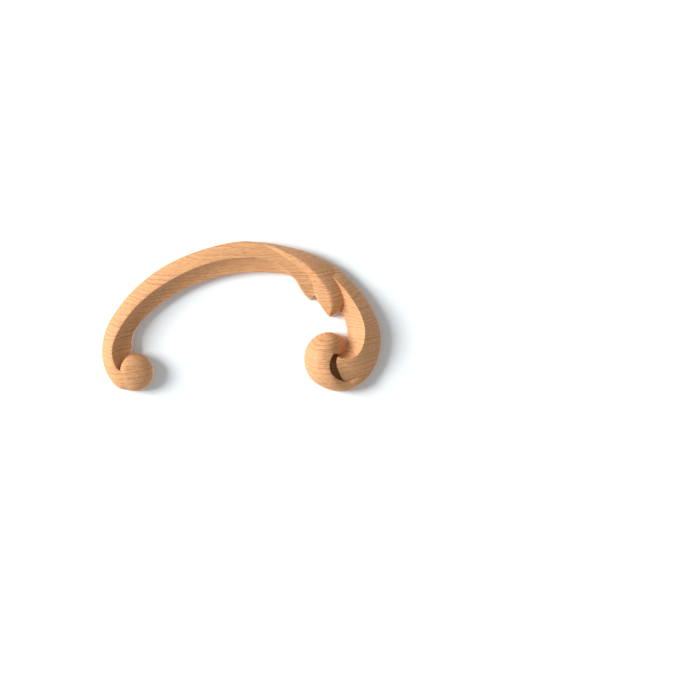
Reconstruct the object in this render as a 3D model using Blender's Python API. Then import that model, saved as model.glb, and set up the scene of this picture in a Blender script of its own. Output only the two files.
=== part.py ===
# A scroll onlay carved from one piece of wood, in metres. Its flat back lies on the plane Y = 0.
import bpy
import bmesh
import numpy as np

# Overall sizes of the carving.
LENGTH = 0.08255
HEIGHT = 0.04445
DEPTH = 0.009525

# Height of the plain upright side all round, below the carving.
SIDE = 0.0027

# Thickness of the wood left under the groove round the volute's eye, and the round plug that makes that floor.
GROOVE_FLOOR = 0.0032
EYE_CENTRE = (845, 165)
EYE_RADIUS = 0.0053

# The origin lies on the back, half way along, at this height above the lowest point.
ORIGIN_HEIGHT = 0.89 * HEIGHT

# The ball of the small scroll end: its centre and its top in thousandths, its radius, and how far it is pinched in
# and its edge raised beside the place where the arm's crest curls up to it. Turns are in degrees from +X.
BALL_CENTRE = (115, 130, 0)
BALL_TOP = (88, 132, 640)
BALL_RADIUS = 0.00566
BALL_PINCH = 0.27
BALL_LIFT = 0.45
PINCH_TURN = 170
PINCH_SPREAD = 80

# The strips are made this much deeper than the back and cut off there together.
BEHIND = 0.004

# Points closer than this are one point.
WELD = 0.0000001

# Distance between two rows of faces along a strip, steps across one of its sides, and steps round the ball and plug.
STEP_LENGTH = 0.001
STEPS_ACROSS = 5
STEPS_ROUND = 40

# How each side of a strip bows between edge and crest: above zero it swells, below zero it is hollow. It changes
# from the first value to the second, quickly at first.
ARM_BOWS = ((1.0, 0.1), (-0.45, -0.45))
LEAF_BOWS = ((-0.05, 0.2), (0.1, 0.3))
BAND_BOWS = ((0.1, 0.1), (-0.4, -0.4))
BULB_BOWS = ((1.0, 1.0), (0.8, 0.8))

# The carving is drawn as four strips. Each is a row of stations, and a station has three points: one edge, the crest
# and the other edge. A point is given in thousandths of the length, of the height, and of the rise from the side's
# top to the highest point.

# Left arm, from inside the ball over the crown to the small lobe of the leaf.
ARM = (
    ((110, 8, -10), (104, 129, 620), (115, 134, 420)),
    ((66, 19, 0), (86, 133, 630), (97, 142, 420)),
    ((34, 70, 0), (63, 141, 600), (80, 148, 280)),
    ((11, 151, 0), (47, 184, 600), (87, 188, 130)),
    ((0, 262, 0), (39, 272, 620), (105, 260, 40)),
    ((8, 376, 0), (55, 376, 600), (109, 359, 0)),
    ((44, 517, 0), (105, 522, 570), (163, 509, 0)),
    ((208, 816, 0), (278, 770, 540), (355, 730, 0)),
    ((430, 979, 30), (455, 880, 510), (491, 788, 0)),
    ((516, 1000, 60), (520, 889, 510), (530, 793, 0)),
    ((658, 898, 470), (638, 839, 530), (651, 782, 0)),
    ((708, 836, 510), (675, 783, 500), (681, 762, 60)),
    ((747, 768, 500), (704, 723, 420), (700, 718, 160)),
    ((766, 711, 450), (725, 656, 340), (722, 652, 120)),
    ((772, 660, 410), (748, 615, 250), (744, 610, 90)),
)

# Large lobe of the leaf, which rises from the crown's outer edge.
LEAF = (
    ((495, 956, -70), (516, 973, 10), (538, 995, -70)),
    ((548, 954, 130), (566, 973, 210), (591, 990, 0)),
    ((597, 945, 310), (613, 962, 370), (654, 967, 0)),
    ((651, 890, 450), (661, 922, 540), (719, 938, 10)),
    ((701, 830, 500), (715, 868, 630), (772, 896, 40)),
    ((756, 705, 420), (788, 730, 620), (846, 781, 90)),
    ((764, 642, 370), (811, 664, 570), (862, 698, 160)),
    ((793, 548, 310), (822, 546, 420), (858, 557, 130)),
    ((811, 501, 130), (816, 497, 190), (832, 512, 70)),
)

# Lower right band, from under the leaf to the curl round the eye.
BAND = (
    ((753, 913, -70), (738, 866, 130), (720, 826, -70)),
    ((823, 845, 10), (792, 805, 260), (756, 772, -70)),
    ((885, 747, 10), (857, 705, 470), (814, 638, -40)),
    ((934, 648, 10), (894, 619, 590), (835, 557, -30)),
    ((973, 530, 10), (924, 525, 640), (859, 522, -10)),
    ((999, 322, 10), (941, 357, 670), (880, 362, 30)),
    ((960, 110, 10), (909, 235, 720), (867, 274, 120)),
    ((932, 64, 60), (892, 222, 750), (860, 262, 180)),
    ((861, 81, 480), (864, 219, 790), (850, 247, 320)),
    ((852, 119, 630), (855, 222, 790), (847, 242, 410)),
    ((843, 160, 720), (848, 226, 780), (844, 236, 510)),
    ((839, 197, 730), (843, 227, 750), (842, 231, 600)),
)

# Bulb of the volute and its tail, which runs out along the lowest edge.
BULB = (
    ((885, 312, -70), (882, 289, -70), (878, 265, -70)),
    ((870, 346, -10), (865, 299, 220), (865, 259, 160)),
    ((849, 374, 10), (846, 294, 620), (851, 247, 510)),
    ((813, 395, 10), (823, 279, 860), (834, 250, 810)),
    ((760, 360, 10), (803, 236, 970), (822, 219, 920)),
    ((730, 279, 10), (799, 197, 1000), (817, 183, 960)),
    ((747, 91, 10), (815, 105, 920), (825, 114, 900)),
    ((790, 30, 10), (836, 71, 790), (842, 85, 760)),
    ((846, 0, 10), (859, 54, 530), (863, 71, 470)),
    ((896, 17, 0), (893, 63, 340), (891, 78, 260)),
    ((930, 56, 0), (918, 91, 280), (914, 102, 220)),
    ((952, 95, -40), (937, 113, 100), (930, 121, 70)),
)


def clear_scene():
    for item in list(bpy.data.objects):
        bpy.data.objects.remove(item, do_unlink=True)


def place(point):
    """The place of a point that is given in thousandths, in metres."""
    along, up, rise = np.array(point) / 1000
    return np.array(((along - 0.5) * LENGTH, -(SIDE + rise * (DEPTH - SIDE)), up * HEIGHT - ORIGIN_HEIGHT))


def smooth_line(points, at, where):
    """Points of a natural cubic spline through the given points. Both at and where count the distance along it."""
    gaps = np.diff(at)
    slopes = np.diff(points, axis=0) / gaps[:, None]
    matrix = np.eye(len(at))
    change = np.zeros((len(at), 3))
    for i in range(1, len(gaps)):
        matrix[i, i - 1 : i + 2] = gaps[i - 1], 2 * (gaps[i - 1] + gaps[i]), gaps[i]
        change[i] = slopes[i] - slopes[i - 1]
    bend = np.linalg.solve(matrix, change)
    index = np.clip(np.searchsorted(at, where, side="right") - 1, 0, len(gaps) - 1)
    gap = gaps[index][:, None]
    share = (where - at[index])[:, None] / gap
    rest = 1 - share
    straight = rest * points[index] + share * points[index + 1]
    return straight - gap**2 * ((rest - rest**3) * bend[index] + (share - share**3) * bend[index + 1])


def side(edge, crest, bow):
    """Points from the edge towards the crest, with the rise between them bowed like part of a superellipse."""
    power = 1 + abs(bow)
    points = []
    for step in range(STEPS_ACROSS):
        even = step / STEPS_ACROSS
        if bow > 0:
            share = even + min(bow, 1) * (1 - np.cos(even * np.pi / 2) - even)
            climb = (1 - (1 - share) ** power) ** (1 / power)
        else:
            share = np.sin(even * np.pi / 2)
            climb = 1 - (1 - share**power) ** (1 / power)
        points.append(edge + (crest - edge) * (share, climb, share))
    return points


def clean(mesh):
    """Merges points that coincide, makes all faces triangles and turns them outwards."""
    shape = bmesh.new()
    shape.from_mesh(mesh)
    bmesh.ops.remove_doubles(shape, verts=shape.verts, dist=WELD)
    bmesh.ops.triangulate(shape, faces=shape.faces)
    bmesh.ops.recalc_face_normals(shape, faces=shape.faces)
    shape.to_mesh(mesh)
    shape.free()


def mesh_object(name, verts, faces):
    """An object from points and faces."""
    mesh = bpy.data.meshes.new(name)
    mesh.from_pydata(verts, [], faces)
    clean(mesh)
    item = bpy.data.objects.new(name, mesh)
    bpy.context.scene.collection.objects.link(item)
    return item


def rings_object(name, rings):
    """A closed solid through rings of points, with flat ends."""
    size = len(rings[0])
    faces = [tuple(range(size)), tuple(range(size * (len(rings) - 1), size * len(rings)))[::-1]]
    for start in range(0, size * (len(rings) - 1), size):
        for i in range(size):
            j = (i + 1) % size
            faces.append((start + i, start + j, start + size + j, start + size + i))
    return mesh_object(name, np.concatenate(rings), faces)


def ball(name, behind):
    """A rounded boss, pinched in on the side where the arm's crest curls up to it."""
    centre, top = place(BALL_CENTRE), place(BALL_TOP)
    turns = np.radians(np.arange(STEPS_ROUND) * 360 / STEPS_ROUND)
    away = np.abs(np.degrees(turns) - PINCH_TURN)
    pinch = np.cos(np.radians(np.clip(away / PINCH_SPREAD, 0, 1) * 90))
    reach = BALL_RADIUS * (1 - BALL_PINCH * pinch)
    edge = SIDE + BALL_LIFT * pinch * (DEPTH - SIDE)
    circle = np.stack((reach * np.cos(turns), np.zeros(STEPS_ROUND), reach * np.sin(turns)), axis=1)
    rings = [centre * (1, 0, 1) + circle + (0, behind, 0)]
    for climb in np.linspace(0, np.pi / 2, 2 * STEPS_ACROSS, endpoint=False):
        share = np.cos(climb)
        middle = top * (1, 0, 1) + (centre - top) * (share, 0, share)
        depth = -edge + (top[1] + edge) * np.sin(climb)
        rings.append(middle + circle * share + np.stack((0 * depth, depth, 0 * depth), axis=1))
    return rings_object(name, rings)


def strip(name, stations, bows, behind):
    """A closed strip through the stations. Its back lies behind the plane Y = 0."""
    stations = np.array([[place(point) for point in row] for row in stations])
    gaps = np.linalg.norm(np.diff(stations, axis=0), axis=2).mean(axis=1)
    at = np.concatenate(((0,), np.cumsum(gaps)))
    where = np.linspace(0, at[-1], round(at[-1] / STEP_LENGTH) + 1)
    lines = [smooth_line(stations[:, i], at, where) for i in range(3)]
    rings = []
    for share, edge, crest, inner in zip(np.sqrt(where / at[-1]), *lines):
        first, second = (start + share * (end - start) for start, end in bows)
        ring = side(edge, crest, first) + [crest] + side(inner, crest, second)[::-1]
        rings.append(np.array([(edge[0], behind, edge[2])] + ring + [(inner[0], behind, inner[2])]))
    return rings_object(name, rings)


def plug(name, centre, radius, height, behind):
    """A round plug with a flat top."""
    middle = place((centre[0], centre[1], 0))
    turns = np.arange(STEPS_ROUND) / STEPS_ROUND * 2 * np.pi
    circle = np.stack((np.cos(turns), np.zeros(STEPS_ROUND), np.sin(turns)), axis=1) * radius + middle * (1, 0, 1)
    return rings_object(name, [circle + (0, behind, 0), circle - (0, height, 0)])


def block_behind(name):
    """A block behind the plane Y = 0, which takes off all that reaches past the back."""
    corners = np.array(((-1, -1), (1, -1), (1, 1), (-1, 1))) * (LENGTH, 2 * HEIGHT)
    rings = [np.insert(corners, 1, depth, axis=1) for depth in (0, 4 * BEHIND)]
    return rings_object(name, rings)


def combine(body, other, operation):
    """Joins the other solid to the body, or cuts it away, and removes it."""
    modifier = body.modifiers.new(other.name, "BOOLEAN")
    modifier.operation = operation
    modifier.solver = "EXACT"
    modifier.use_self = True
    modifier.object = other
    graph = bpy.context.evaluated_depsgraph_get()
    made = bpy.data.meshes.new_from_object(body.evaluated_get(graph))
    clean(made)
    body.modifiers.clear()
    body.data = made
    bpy.data.objects.remove(other, do_unlink=True)


def wood():
    material = bpy.data.materials.new("light wood")
    material.use_nodes = True
    shader = material.node_tree.nodes["Principled BSDF"]
    shader.inputs["Base Color"].default_value = (0.62, 0.38, 0.21, 1.0)
    shader.inputs["Roughness"].default_value = 0.6
    return material


clear_scene()
onlay = strip("scroll_onlay", ARM, ARM_BOWS, BEHIND)
others = (
    ball("ball", 1.5 * BEHIND),
    strip("leaf", LEAF, LEAF_BOWS, 1.1 * BEHIND),
    strip("band", BAND, BAND_BOWS, 1.2 * BEHIND),
    strip("bulb", BULB, BULB_BOWS, 1.3 * BEHIND),
    plug("eye", EYE_CENTRE, EYE_RADIUS, GROOVE_FLOOR, 1.4 * BEHIND),
)
for other in others:
    combine(onlay, other, "UNION")
combine(onlay, block_behind("back"), "DIFFERENCE")
onlay.data.materials.clear()
onlay.data.materials.append(wood())
onlay.data.shade_smooth()
onlay.data.set_sharp_from_angle(angle=np.radians(28))
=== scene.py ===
# %% [markdown]
# # A carved scroll onlay
# An onlay is a small relief carving that is glued on a drawer front, a door or a mantel. This one is a
# single piece of light hardwood: an arch that starts at a small ball, passes over a crown, sends out a leaf
# with two lobes and ends in a large volute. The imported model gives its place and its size. The fine carving
# and the wood are made here.

# %% Load the frame
import math

import bpy
import numpy as np
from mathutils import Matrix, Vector


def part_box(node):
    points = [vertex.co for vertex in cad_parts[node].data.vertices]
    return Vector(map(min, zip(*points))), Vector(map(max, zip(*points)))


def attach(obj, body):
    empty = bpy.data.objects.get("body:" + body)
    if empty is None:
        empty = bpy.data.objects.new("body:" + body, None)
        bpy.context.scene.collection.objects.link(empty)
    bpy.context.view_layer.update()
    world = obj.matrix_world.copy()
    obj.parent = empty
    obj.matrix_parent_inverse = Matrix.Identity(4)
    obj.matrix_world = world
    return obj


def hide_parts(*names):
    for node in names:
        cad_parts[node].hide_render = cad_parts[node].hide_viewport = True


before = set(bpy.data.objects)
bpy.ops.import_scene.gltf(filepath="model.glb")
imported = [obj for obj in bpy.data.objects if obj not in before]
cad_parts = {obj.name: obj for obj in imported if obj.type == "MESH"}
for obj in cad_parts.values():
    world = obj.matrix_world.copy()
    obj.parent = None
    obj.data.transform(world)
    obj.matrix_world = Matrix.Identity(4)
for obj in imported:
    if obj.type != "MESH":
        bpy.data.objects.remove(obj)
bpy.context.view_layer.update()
low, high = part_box("scroll_onlay")
print("nodes in the packed model:", len(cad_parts))
print("box of the onlay in millimetres:", [round(v * 1000, 2) for v in (*low, *high)])

# %% [markdown]
# ## Sizes
# A carver first draws the outline on the blank and then marks how deep each line lies. The same three
# numbers describe every point here: how far along, how far up, and how high it rises above the plain side.
# They are shares in thousandths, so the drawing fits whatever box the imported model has. The sanded wood
# lies a hair inside that box.

# %% Name the sizes
SANDED = 0.00003
LENGTH = high.x - low.x - 2 * SANDED
HEIGHT = high.z - low.z - 2 * SANDED
DEPTH = high.y - low.y - SANDED
MIDDLE = (low.x + high.x) / 2
LOWEST = low.z + SANDED
BACK = high.y
SIDE = 0.0027
GROOVE_FLOOR = 0.0032
print("side", SIDE, "of a depth of", round(DEPTH, 5))

# %% [markdown]
# ## The lines of the carving
# Each strip of the carving is drawn as a row of stations. A station holds three points: one edge, the
# crest, and the other edge. Smooth curves through the points of neighbouring stations give the flowing
# lines of the scroll. Few stations keep the lines fair, and the tight curls get a few more. The eye and the
# ball are round, so each needs only a centre and a radius, and the ball also a top and a pinch on the side
# of the arm.

# %% Place the eye and the ball
EYE_CENTRE = (845, 165)
EYE_RADIUS = 0.0053
BALL_CENTRE = (115, 130, 0)
BALL_TOP = (88, 132, 640)
BALL_RADIUS = 0.00566
BALL_PINCH = 0.27
BALL_LIFT = 0.45
PINCH_TURN = 170
PINCH_SPREAD = 80
print("radius of the eye and of the ball in millimetres:", EYE_RADIUS * 1000, BALL_RADIUS * 1000)

# %% [markdown]
# Each strip has two sides, and a side has two bows, one at the strip's start and one at its end. A bow
# above zero swells the side, and one below zero hollows it.

# %% Set how far the sides swell or are hollow
ARM_BOWS = ((1.0, 0.1), (-0.45, -0.45))
LEAF_BOWS = ((-0.05, 0.2), (0.1, 0.3))
BAND_BOWS = ((0.1, 0.1), (-0.4, -0.4))
BULB_BOWS = ((1.0, 1.0), (0.8, 0.8))
print("bows of the arm:", ARM_BOWS)

# %% [markdown]
# The arm runs from inside the ball over the crown to the small lobe of the leaf.

# %% Draw the arm
ARM = (
    ((110, 8, -10), (104, 129, 620), (115, 134, 420)),
    ((66, 19, 0), (86, 133, 630), (97, 142, 420)),
    ((34, 70, 0), (63, 141, 600), (80, 148, 280)),
    ((11, 151, 0), (47, 184, 600), (87, 188, 130)),
    ((0, 262, 0), (39, 272, 620), (105, 260, 40)),
    ((8, 376, 0), (55, 376, 600), (109, 359, 0)),
    ((44, 517, 0), (105, 522, 570), (163, 509, 0)),
    ((208, 816, 0), (278, 770, 540), (355, 730, 0)),
    ((430, 979, 30), (455, 880, 510), (491, 788, 0)),
    ((516, 1000, 60), (520, 889, 510), (530, 793, 0)),
    ((658, 898, 470), (638, 839, 530), (651, 782, 0)),
    ((708, 836, 510), (675, 783, 500), (681, 762, 60)),
    ((747, 768, 500), (704, 723, 420), (700, 718, 160)),
    ((766, 711, 450), (725, 656, 340), (722, 652, 120)),
    ((772, 660, 410), (748, 615, 250), (744, 610, 90)),
)
print("stations of the arm:", len(ARM))

# %% [markdown]
# The leaf's large lobe starts on the crown and ends in a point over the band.

# %% Draw the large lobe of the leaf
LEAF = (
    ((495, 956, -70), (516, 973, 10), (538, 995, -70)),
    ((548, 954, 130), (566, 973, 210), (591, 990, 0)),
    ((597, 945, 310), (613, 962, 370), (654, 967, 0)),
    ((651, 890, 450), (661, 922, 540), (719, 938, 10)),
    ((701, 830, 500), (715, 868, 630), (772, 896, 40)),
    ((756, 705, 420), (788, 730, 620), (846, 781, 90)),
    ((764, 642, 370), (811, 664, 570), (862, 698, 160)),
    ((793, 548, 310), (822, 546, 420), (858, 557, 130)),
    ((811, 501, 130), (816, 497, 190), (832, 512, 70)),
)
print("stations of the leaf:", len(LEAF))

# %% [markdown]
# The band starts under the leaf, goes round the lower right, and its last stations crowd where it curls in.

# %% Draw the band
BAND = (
    ((753, 913, -70), (738, 866, 130), (720, 826, -70)),
    ((823, 845, 10), (792, 805, 260), (756, 772, -70)),
    ((885, 747, 10), (857, 705, 470), (814, 638, -40)),
    ((934, 648, 10), (894, 619, 590), (835, 557, -30)),
    ((973, 530, 10), (924, 525, 640), (859, 522, -10)),
    ((999, 322, 10), (941, 357, 670), (880, 362, 30)),
    ((960, 110, 10), (909, 235, 720), (867, 274, 120)),
    ((932, 64, 60), (892, 222, 750), (860, 262, 180)),
    ((861, 81, 480), (864, 219, 790), (850, 247, 320)),
    ((852, 119, 630), (855, 222, 790), (847, 242, 410)),
    ((843, 160, 720), (848, 226, 780), (844, 236, 510)),
    ((839, 197, 730), (843, 227, 750), (842, 231, 600)),
)
print("stations of the band:", len(BAND))

# %% [markdown]
# The bulb winds round the eye, and its tail fades into the band along the bottom.

# %% Draw the bulb and its tail
BULB = (
    ((885, 312, -70), (882, 289, -70), (878, 265, -70)),
    ((870, 346, -10), (865, 299, 220), (865, 259, 160)),
    ((849, 374, 10), (846, 294, 620), (851, 247, 510)),
    ((813, 395, 10), (823, 279, 860), (834, 250, 810)),
    ((760, 360, 10), (803, 236, 970), (822, 219, 920)),
    ((730, 279, 10), (799, 197, 1000), (817, 183, 960)),
    ((747, 91, 10), (815, 105, 920), (825, 114, 900)),
    ((790, 30, 10), (836, 71, 790), (842, 85, 760)),
    ((846, 0, 10), (859, 54, 530), (863, 71, 470)),
    ((896, 17, 0), (893, 63, 340), (891, 78, 260)),
    ((930, 56, 0), (918, 91, 280), (914, 102, 220)),
    ((952, 95, -40), (937, 113, 100), (930, 121, 70)),
)
print("stations of the bulb:", len(BULB))

# %% [markdown]
# ## Smooth lines and bowed sides
# A spline is what a bent lath does: it passes through all its pins with no sudden change of bend. Between
# edge and crest the wood swells like a cushion or is scooped out like a cove, and a superellipse gives both
# with one number.

# %% Place a point and run a line


def place(point):
    """The place of a point that is given in thousandths."""
    along, up, rise = np.array(point) / 1000
    depth = BACK - SIDE - rise * (DEPTH - SIDE)
    return np.array((MIDDLE + (along - 0.5) * LENGTH, depth, LOWEST + up * HEIGHT))


def smooth_line(points, at, where):
    """Points of a natural cubic spline. Both at and where count the distance along it."""
    gaps = np.diff(at)
    slopes = np.diff(points, axis=0) / gaps[:, None]
    matrix = np.eye(len(at))
    change = np.zeros((len(at), 3))
    for i in range(1, len(gaps)):
        matrix[i, i - 1 : i + 2] = gaps[i - 1], 2 * (gaps[i - 1] + gaps[i]), gaps[i]
        change[i] = slopes[i] - slopes[i - 1]
    bend = np.linalg.solve(matrix, change)
    index = np.clip(np.searchsorted(at, where, side="right") - 1, 0, len(gaps) - 1)
    gap = gaps[index][:, None]
    share = (where - at[index])[:, None] / gap
    rest = 1 - share
    straight = rest * points[index] + share * points[index + 1]
    return straight - gap**2 * ((rest - rest**3) * bend[index] + (share - share**3) * bend[index + 1])


print("the crown's crest lies at", place(ARM[11][1]).round(4))

# %% Bow the sides
ACROSS = 18


def side(edge, crest, bow):
    """Points from the edge towards the crest. Above zero the side swells, below zero it is hollow."""
    even = np.arange(ACROSS) / ACROSS
    power = 1 + abs(bow)
    if bow > 0:
        share = even + min(bow, 1) * (1 - np.cos(even * np.pi / 2) - even)
        climb = (1 - (1 - share) ** power) ** (1 / power)
    else:
        share = np.sin(even * np.pi / 2)
        climb = 1 - (1 - share**power) ** (1 / power)
    return edge + (crest - edge) * np.stack((share, climb, share), axis=1)


print("points across one strip:", 2 * ACROSS + 1)

# %% [markdown]
# ## One strip
# Every strip starts as a flat grid. Its points are moved onto the drawn lines, the border is extruded back
# past the plain back, flattened there and filled. That gives a closed solid, and closed solids join
# cleanly. Sandpaper takes the sharpness off the crest and off the border, so those two lines are smoothed a
# little.

# %% Make a strip from a grid
PER_MM = 3.0
RIM = 0.0003
START_OF_WALL = 0.001
SANDINGS = 2
# Each piece reaches its own depth behind the back, so no two of their ends lie in one plane.
BEHIND = 0.004
LEAF_BEHIND = 1.1 * BEHIND
BAND_BEHIND = 1.2 * BEHIND
BULB_BEHIND = 1.3 * BEHIND
EYE_BEHIND = 1.4 * BEHIND
BALL_BEHIND = 1.5 * BEHIND


def back_off(behind):
    """Extrudes the border of an open surface to a flat plane behind the back, and closes it."""
    bpy.ops.object.mode_set(mode="EDIT")
    bpy.ops.mesh.select_mode(type="EDGE")
    bpy.ops.mesh.select_all(action="DESELECT")
    bpy.ops.mesh.select_non_manifold()
    bpy.ops.mesh.extrude_region_move(TRANSFORM_OT_translate={"value": (0, RIM, 0)})
    bpy.ops.mesh.extrude_region_move(TRANSFORM_OT_translate={"value": (0, START_OF_WALL, 0)})
    bpy.ops.transform.resize(value=(1, 0, 1), center_override=(0, BACK + behind, 0))
    bpy.ops.mesh.edge_face_add()
    bpy.ops.mesh.select_all(action="SELECT")
    bpy.ops.mesh.normals_make_consistent(inside=False)
    bpy.ops.object.mode_set(mode="OBJECT")


def sand(item, chosen, times):
    """Smooths the chosen points, as sandpaper rounds a line."""
    bpy.ops.object.mode_set(mode="EDIT")
    bpy.ops.mesh.select_mode(type="VERT")
    bpy.ops.mesh.select_all(action="DESELECT")
    bpy.ops.object.mode_set(mode="OBJECT")
    item.data.vertices.foreach_set("select", chosen)
    bpy.ops.object.mode_set(mode="EDIT")
    bpy.ops.mesh.vertices_smooth(factor=0.5, repeat=times)
    bpy.ops.object.mode_set(mode="OBJECT")


def strip(name, stations, bows, behind):
    """A closed solid through the stations of one strip."""
    stations = np.array([[place(point) for point in row] for row in stations])
    gaps = np.linalg.norm(np.diff(stations, axis=0), axis=2).mean(axis=1)
    at = np.concatenate(((0,), np.cumsum(gaps)))
    where = np.linspace(0, at[-1], round(at[-1] * 1000 * PER_MM) + 1)
    edges, crests, inners = (smooth_line(stations[:, i], at, where) for i in range(3))
    rows = []
    for share, edge, crest, inner in zip(np.sqrt(where / at[-1]), edges, crests, inners):
        first, second = (start + share * (end - start) for start, end in bows)
        rows.append(np.vstack((side(edge, crest, first), crest, side(inner, crest, second)[::-1])))
    bpy.ops.object.select_all(action="DESELECT")
    bpy.ops.mesh.primitive_grid_add(x_subdivisions=2 * ACROSS, y_subdivisions=len(rows) - 1, size=LENGTH)
    item = bpy.context.object
    item.name = name
    item.data.vertices.foreach_set("co", np.vstack(rows).ravel())
    back_off(behind)
    column = np.arange(len(item.data.vertices)) % (2 * ACROSS + 1)
    on_strip = np.arange(len(item.data.vertices)) < len(rows) * (2 * ACROSS + 1)
    sand(item, on_strip & np.isin(column, (0, ACROSS, 2 * ACROSS)), SANDINGS)
    print(name, "has", len(item.data.polygons), "faces over", round(at[-1] * 1000, 1), "mm")
    return item


print("stations along one millimetre:", PER_MM)

# %% [markdown]
# ## The left arm
# The arm is the backbone of the onlay. It leaves the ball at the lower left, climbs over the crown and ends
# as the small lobe of the leaf. Its outer side is nearly flat and its inner side is a cove, so light runs
# along the crest.

# %% Carve the arm
onlay = strip("carved_onlay", ARM, ARM_BOWS, BEHIND)

# %% [markdown]
# ## The ball of the small end
# The small scroll ends in a boss like half a ball. It is pinched in beside the arm's crest, which curls up
# to it.

# %% Round the ball
BALL_RINGS = 24
BALL_STEPS = 128


def ball(name, behind):
    """A boss from half a sphere, with its border pinched in and raised beside the arm's crest."""
    centre, top = place(BALL_CENTRE), place(BALL_TOP)
    bpy.ops.object.select_all(action="DESELECT")
    bpy.ops.mesh.primitive_uv_sphere_add(segments=BALL_STEPS, ring_count=2 * BALL_RINGS, radius=1)
    item = bpy.context.object
    item.name = name
    bpy.ops.object.mode_set(mode="EDIT")
    bpy.ops.mesh.select_all(action="SELECT")
    bpy.ops.mesh.bisect(plane_co=(0, 0, 0), plane_no=(0, 0, 1), clear_inner=True, threshold=0.0001)
    bpy.ops.object.mode_set(mode="OBJECT")
    for vert in item.data.vertices:
        turn = math.degrees(math.atan2(vert.co.y, vert.co.x))
        away = abs((turn - PINCH_TURN + 180) % 360 - 180) / PINCH_SPREAD
        pinch = math.cos(min(away, 1) * math.pi / 2)
        reach = BALL_RADIUS * (1 - BALL_PINCH * pinch)
        edge = BACK - SIDE - BALL_LIFT * pinch * (DEPTH - SIDE)
        middle = top + (centre - top) * math.hypot(vert.co.x, vert.co.y)
        depth = edge + (top[1] - edge) * vert.co.z
        vert.co = (middle[0] + vert.co.x * reach, depth, middle[2] + vert.co.y * reach)
    back_off(behind)
    print(name, "has", len(item.data.polygons), "faces")
    return item


pieces = [ball("ball", BALL_BEHIND)]

# %% [markdown]
# ## Leaf, band and bulb
# The large lobe of the leaf rises from the crown's outer edge. Under it the lower band comes out and curls
# in towards the eye of the volute. The bulb is the thick round end of that curl, and its tail runs out
# along the bottom.

# %% Carve the leaf, the band and the bulb
pieces.append(strip("leaf", LEAF, LEAF_BOWS, LEAF_BEHIND))
pieces.append(strip("band", BAND, BAND_BOWS, BAND_BEHIND))
pieces.append(strip("bulb", BULB, BULB_BOWS, BULB_BEHIND))

# %% [markdown]
# ## The floor of the eye
# The groove round the eye doesn't go through the wood. A low round plug gives it a floor.

# %% Lay the floor of the eye
eye = place((*EYE_CENTRE, 0))
plug_depth = GROOVE_FLOOR + EYE_BEHIND
bpy.ops.object.select_all(action="DESELECT")
bpy.ops.mesh.primitive_cylinder_add(
    vertices=96,
    radius=EYE_RADIUS,
    depth=plug_depth,
    location=(eye[0], BACK - GROOVE_FLOOR + plug_depth / 2, eye[2]),
    rotation=(math.pi / 2, 0, 0),
)
bpy.ops.object.transform_apply(location=True, rotation=True, scale=True)
pieces.append(bpy.context.object)
print("plug of the eye:", round(plug_depth * 1000, 2), "mm long")

# %% [markdown]
# ## Join it into one piece of wood
# The real onlay is one piece, so the strips are joined by exact Boolean modifiers. Then the back is sawn
# flat. Only edges that are sharper than a small angle keep a hard line in the shading, and the rest looks
# smooth.

# %% Join and saw
SHARP_FROM = 15
for piece in pieces:
    joint = onlay.modifiers.new(piece.name, "BOOLEAN")
    joint.operation = "UNION"
    joint.solver = "EXACT"
    joint.use_self = True
    joint.object = piece
    bpy.context.view_layer.objects.active = onlay
    bpy.ops.object.modifier_apply(modifier=joint.name)
    bpy.data.objects.remove(piece, do_unlink=True)
bpy.ops.object.select_all(action="DESELECT")
onlay.select_set(True)
bpy.ops.object.mode_set(mode="EDIT")
bpy.ops.mesh.select_all(action="SELECT")
bpy.ops.mesh.bisect(
    plane_co=(0, BACK, 0),
    plane_no=(0, 1, 0),
    use_fill=True,
    clear_outer=True,
    threshold=0.000001,
)
bpy.ops.mesh.select_all(action="SELECT")
bpy.ops.mesh.quads_convert_to_tris()
bpy.ops.object.mode_set(mode="OBJECT")
bpy.ops.object.shade_smooth_by_angle(angle=math.radians(SHARP_FROM))
print("joined onlay:", len(onlay.data.polygons), "triangles")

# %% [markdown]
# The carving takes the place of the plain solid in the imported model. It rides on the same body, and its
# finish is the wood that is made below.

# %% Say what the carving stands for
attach(onlay, "root")
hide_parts("scroll_onlay")
print(onlay.name, "stands for the node scroll_onlay")

# %% [markdown]
# ## Light hardwood
# The wood is unfinished and sanded. Its year rings run along the length of the blank, so the front shows
# fine lines from left to right, and a round form shows arches of them. A solid pattern gives that by
# itself: every point of the wood gets its colour from its place, as if the onlay were cut out of one board.
# Object coordinates are such places.

# %% Name the wood's colours and where the heart of the tree was
PALE = (0.79, 0.43, 0.20)
WARM = (0.73, 0.37, 0.165)
LATE = (0.38, 0.155, 0.065)
FIBRE = (0.42, 0.19, 0.08)
PIT = (0.25, 0.10, 0.04)
LATE_SHARE = 0.55
FIBRE_SHARE = 0.55
PIT_SHARE = 0.55
RING_BEHIND = 30
RING_BELOW = 120
BOARD_TILT = 2.5
SLOW_WAVE = 3.5
QUICK_WAVE = 0.8
print("early wood", PALE, "late wood", LATE)

# %% [markdown]
# The nodes are placed by three small helpers, which keep each line of the wood's recipe short. A Mapping
# node turns metres into millimetres and tilts the grain a little.

# %% Start the wood and its coordinates in millimetres
wood = bpy.data.materials.new("light hardwood")
wood.use_nodes = True
nodes, links = wood.node_tree.nodes, wood.node_tree.links
shader = nodes["Principled BSDF"]


def node(kind, **settings):
    """A new node with its settings."""
    made = nodes.new("ShaderNode" + kind)
    for name, value in settings.items():
        setattr(made, name, value)
    return made


def feed(target, value):
    """Gives an input a number or a link."""
    if isinstance(value, (int, float)):
        target.default_value = value
    else:
        links.new(value, target)


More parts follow.
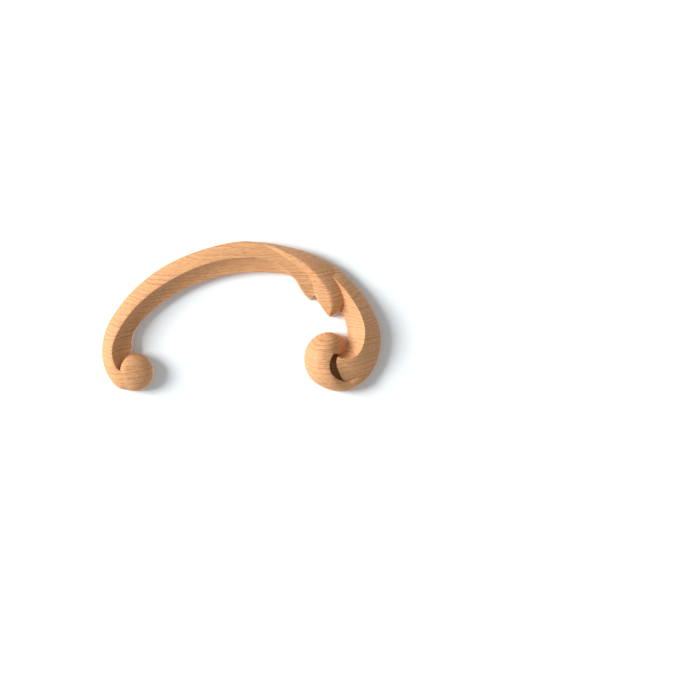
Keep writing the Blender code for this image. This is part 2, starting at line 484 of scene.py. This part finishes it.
def calc(operation, first, second=0.0, third=0.0):
    """One step of arithmetic."""
    made = node("Math", operation=operation)
    for socket, value in zip(made.inputs, (first, second, third)):
        feed(socket, value)
    return made.outputs[0]


place_in_wood = node("TexCoord").outputs["Object"]
board = node("Mapping")
board.inputs["Scale"].default_value = (1000, 1000, 1000)
board.inputs["Rotation"].default_value = (0, math.radians(BOARD_TILT), 0)
links.new(place_in_wood, board.inputs["Vector"])
millimetres = board.outputs["Vector"]
print("the board lies", BOARD_TILT, "degrees out of line")

# %% [markdown]
# ## Year rings
# A ring is never quite straight. Two noises push it up and down: one slow, over centimetres, and one quick,
# over a millimetre or two, both stretched along the wood.

# %% Bend the rings


def stretched(scale, **settings):
    """A noise over the board, with its own scale for each direction."""
    stretch = node("Mapping")
    stretch.inputs["Scale"].default_value = scale
    links.new(millimetres, stretch.inputs["Vector"])
    made = node("TexNoise")
    made.inputs["Scale"].default_value = 1.0
    for name, value in settings.items():
        made.inputs[name].default_value = value
    links.new(stretch.outputs["Vector"], made.inputs["Vector"])
    return made.outputs["Fac"]


slow = stretched((0.035, 0.12, 0.12), Detail=2.0)
quick = stretched((0.22, 0.5, 0.5), Detail=3.0, Roughness=0.6)
parts = node("SeparateXYZ")
links.new(millimetres, parts.inputs["Vector"])
deep = calc("ADD", parts.outputs["Y"], -RING_BEHIND)
up = calc("ADD", parts.outputs["Z"], RING_BELOW)
radius = calc("SQRT", calc("ADD", calc("MULTIPLY", deep, deep), calc("MULTIPLY", up, up)))
bent = calc("MULTIPLY_ADD", slow, SLOW_WAVE, radius)
bent = calc("MULTIPLY_ADD", quick, QUICK_WAVE, bent)
print("the rings wave by", SLOW_WAVE, "and", QUICK_WAVE, "mm")

# %% [markdown]
# The rings themselves are a noise of one number: the distance from the heart of the tree. Late wood is a
# narrow dark line and early wood is broad and pale. Fibres and pores are noises that are stretched a great
# deal along the wood.

# %% Lay the rings, the fibres and the pores
rings = node("TexNoise", noise_dimensions="1D")
rings.inputs["Scale"].default_value = 2.4
rings.inputs["Detail"].default_value = 2.0
rings.inputs["Roughness"].default_value = 0.65
links.new(bent, rings.inputs["W"])
fibres = stretched((0.25, 2.5, 5.0), Detail=3.0, Roughness=0.6)
pores = stretched((0.45, 5.0, 6.0), Detail=1.0)
clouds = stretched((0.05, 0.07, 0.07), Detail=2.0)


def ramp(value, *stops):
    """A colour ramp with stops of a place and a grey or a colour."""
    made = node("ValToRGB")
    slots = made.color_ramp.elements
    while len(slots) < len(stops):
        slots.new(0.5)
    for slot, (at, colour) in zip(slots, stops):
        slot.position = at
        slot.color = (*colour, 1) if isinstance(colour, tuple) else (colour, colour, colour, 1)
    links.new(value, made.inputs["Fac"])
    return made.outputs["Color"]


def blend(first, second, share, mode="MIX"):
    """One colour laid over another."""
    made = node("Mix", data_type="RGBA", blend_type=mode)
    sockets = (made.inputs["Factor"], made.inputs["A"], made.inputs["B"])
    for socket, value in zip(sockets, (share, first, second)):
        if isinstance(value, tuple):
            socket.default_value = (*value, 1)
        else:
            feed(socket, value)
    return made.outputs["Result"]


late = ramp(rings.outputs["Fac"], (0.36, 1.0), (0.47, 0.3), (0.56, 0.0))
thread = ramp(fibres, (0.36, 1.0), (0.48, 0.30), (0.60, 0.0))
pits = ramp(pores, (0.30, 1.0), (0.38, 0.0))
print("nodes so far:", len(nodes))

# %% [markdown]
# The colours go on in the order of their size: warm clouds, late wood, fibres, and the pores last.

# %% Colour the wood
pale = blend(PALE, WARM, clouds)
lined = blend(pale, LATE, calc("MULTIPLY", late, LATE_SHARE))
threaded = blend(lined, FIBRE, calc("MULTIPLY", thread, FIBRE_SHARE))
pitted = blend(threaded, PIT, calc("MULTIPLY", pits, PIT_SHARE))
links.new(pitted, shader.inputs["Base Color"])
print("the share of late wood, fibres and pores:", LATE_SHARE, FIBRE_SHARE, PIT_SHARE)

# %% [markdown]
# Sanding leaves the hard late wood a little proud and a little smoother than the soft early wood. The bump
# is only a few hundredths of a millimetre.

# %% Give it a sanded surface
rough = calc("MULTIPLY_ADD", late, -0.08, 0.60)
rough = calc("MULTIPLY_ADD", pits, 0.15, rough)
links.new(rough, shader.inputs["Roughness"])
relief = calc("MULTIPLY_ADD", late, 0.6, calc("MULTIPLY", thread, -0.3))
relief = calc("MULTIPLY_ADD", pits, -1.0, relief)
bump = node("Bump")
bump.inputs["Strength"].default_value = 0.6
bump.inputs["Distance"].default_value = 0.00004
links.new(relief, bump.inputs["Height"])
links.new(bump.outputs["Normal"], shader.inputs["Normal"])
shader.inputs["Specular IOR Level"].default_value = 0.35
onlay.data.materials.clear()
onlay.data.materials.append(wood)
print("nodes in the wood:", len(nodes))

# %% [markdown]
# ## Camera, surface and light
# The camera looks straight at the front from far away, so the relief shows hardly any perspective.

# %% Set the camera
FRAME_WIDTH = 0.2071
DISTANCE = 2.0
AIM_ALONG = 0.03205
AIM_UP = -0.0273
camera = bpy.data.cameras.new("camera")
camera.sensor_width = 36
camera.lens = camera.sensor_width * DISTANCE / FRAME_WIDTH
camera.clip_end = 10
seat = bpy.data.objects.new("camera", camera)
seat.location = (AIM_ALONG, -DISTANCE, AIM_UP)
seat.rotation_euler = (math.pi / 2, 0, 0)
bpy.context.scene.collection.objects.link(seat)
bpy.context.scene.camera = seat
print("lens", round(camera.lens, 1), "mm")

# %% [markdown]
# The onlay lies on a pale sheet, as it would on a drawer front. The sheet has one side only: from behind it
# is clear, so the flat back of the onlay shows there too.

# %% Lay the onlay on a pale surface
PAPER = (0.91, 0.96, 0.985)
SHEET_SIZE = 3
GAP = 0.0002
bpy.ops.object.select_all(action="DESELECT")
bpy.ops.mesh.primitive_plane_add(size=SHEET_SIZE, location=(0, BACK + GAP, 0), rotation=(math.pi / 2, 0, 0))
bpy.ops.object.transform_apply(location=True, rotation=True, scale=True)
surface = bpy.context.object
surface.name = "pale_surface"
paper = bpy.data.materials.new("pale paper")
paper.use_nodes = True
sheet = paper.node_tree
matt = sheet.nodes["Principled BSDF"]
matt.inputs["Base Color"].default_value = (*PAPER, 1)
matt.inputs["Roughness"].default_value = 0.9
turned = sheet.nodes.new("ShaderNodeNewGeometry")
clear = sheet.nodes.new("ShaderNodeBsdfTransparent")
either = sheet.nodes.new("ShaderNodeMixShader")
sheet.links.new(turned.outputs["Backfacing"], either.inputs["Fac"])
sheet.links.new(matt.outputs["BSDF"], either.inputs[1])
sheet.links.new(clear.outputs["BSDF"], either.inputs[2])
sheet.links.new(either.outputs["Shader"], sheet.nodes["Material Output"].inputs["Surface"])
surface.data.materials.append(paper)
surface.visible_shadow = False
print("gap behind the onlay:", GAP * 1000, "mm")

# %% [markdown]
# A broad low light from the left draws the relief, and an even pale sky fills the shadows. A weaker light
# straight from behind is there for the flat back, and touches little else.

# %% Light it softly from the left
SKY = 0.42


def distant_light(name, energy, spread, way):
    """A far light that shines the given way."""
    lamp = bpy.data.lights.new(name, "SUN")
    lamp.energy = energy
    lamp.angle = math.radians(spread)
    item = bpy.data.objects.new(name, lamp)
    item.rotation_euler = Vector(way).to_track_quat("-Z", "Y").to_euler()
    bpy.context.scene.collection.objects.link(item)


distant_light("window", energy=4.5, spread=30, way=(0.84, 0.54, -0.11))
distant_light("light from behind", energy=1.7, spread=2, way=(0, -1, 0))
world = bpy.data.worlds.new("studio")
world.use_nodes = True
world.node_tree.nodes["Background"].inputs["Color"].default_value = (1, 1, 1, 1)
world.node_tree.nodes["Background"].inputs["Strength"].default_value = SKY
bpy.context.scene.world = world
bpy.context.scene.view_settings.view_transform = "Standard"
print("sky strength:", SKY)
